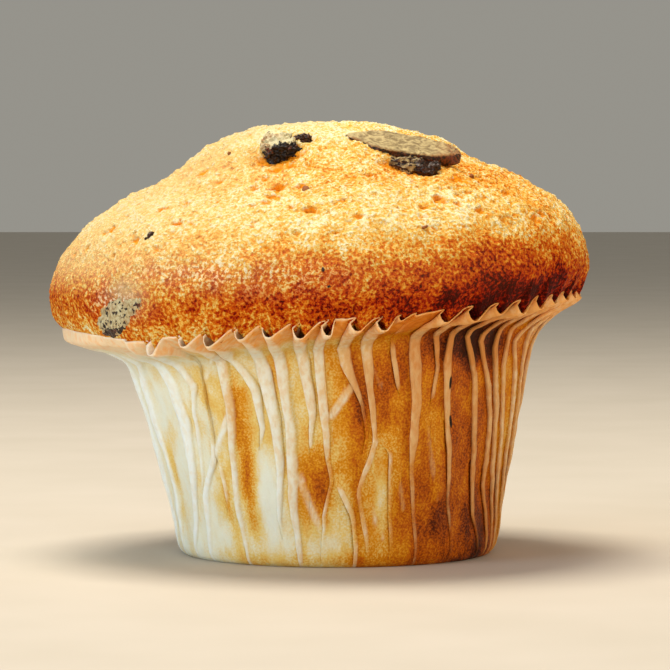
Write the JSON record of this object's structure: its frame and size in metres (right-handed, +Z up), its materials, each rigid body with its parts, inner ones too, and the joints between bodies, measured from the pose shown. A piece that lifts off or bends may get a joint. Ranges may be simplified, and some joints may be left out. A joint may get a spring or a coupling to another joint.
{
  "type": "muffin",
  "caption": "Domed muffin with chocolate pieces in its crown, in a pleated paper baking case with a folded-out rim.",
  "frame": {"origin": "centre of the flat base of the paper case", "axes": "+Z up through the crown, -Y towards the front; the muffin leans a little towards -X"},
  "size_m": [0.0875, 0.0876, 0.07],
  "materials": {
    "cake": "baked golden crumb, browned towards the rim",
    "paper": "thin greaseproof paper, stained where it touches the cake",
    "chocolate": "dark chocolate, satin with a pale bloom"
  },
  "bodies": {
    "root": {"cake": "cake", "paper_case": "paper", "chocolate_wafer": "chocolate", "chocolate_lump": "chocolate", "chocolate_rim_chunk": "chocolate"}
  },
  "joints": []
}
